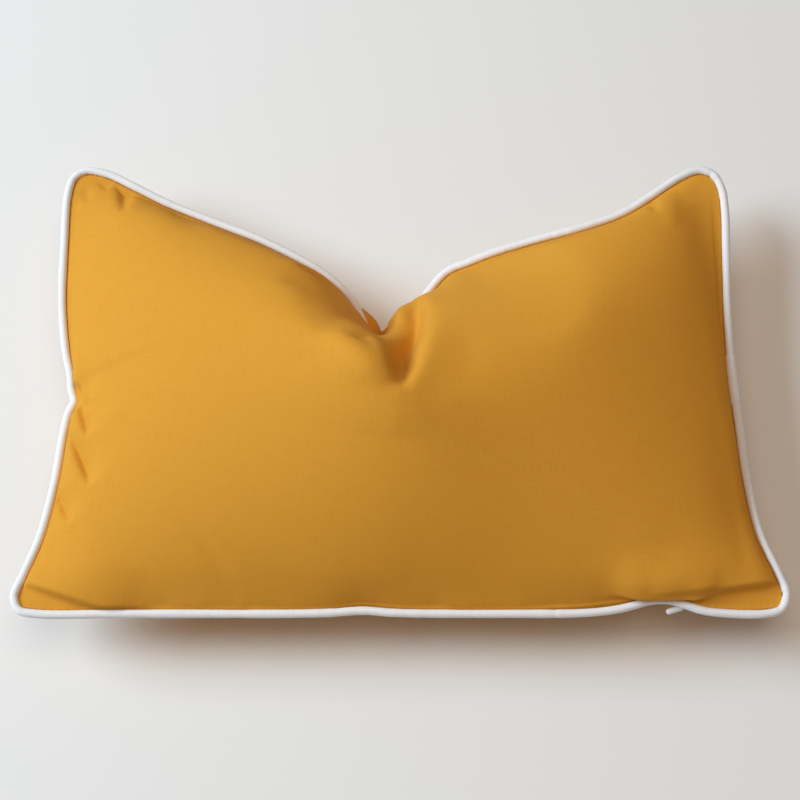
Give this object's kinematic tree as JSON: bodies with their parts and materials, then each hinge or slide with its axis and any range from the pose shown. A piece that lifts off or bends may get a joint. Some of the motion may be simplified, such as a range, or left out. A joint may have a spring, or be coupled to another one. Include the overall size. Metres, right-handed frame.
{
  "type": "outdoor cushion cover",
  "caption": "Filled rectangular outdoor cushion cover with contrast piping round its edge and a chopped top edge, lying on its back.",
  "frame": {"origin": "under the middle of the cushion's box, on the surface its back lies on", "axes": "+X to the right across the face, +Y towards the chopped top edge, +Z out of the face"},
  "size_m": [0.4716, 0.2996, 0.1435],
  "materials": {
    "cover_fabric": "smooth, fine plain weave, soft satin sheen",
    "piping_fabric": "white bias strip over a cord, fine plain weave",
    "cord_end_fabric": "white woven cord with a rounded end"
  },
  "bodies": {
    "root": {"cushion_body": "cover_fabric", "piping": "piping_fabric", "cord_end": "cord_end_fabric"}
  },
  "joints": []
}
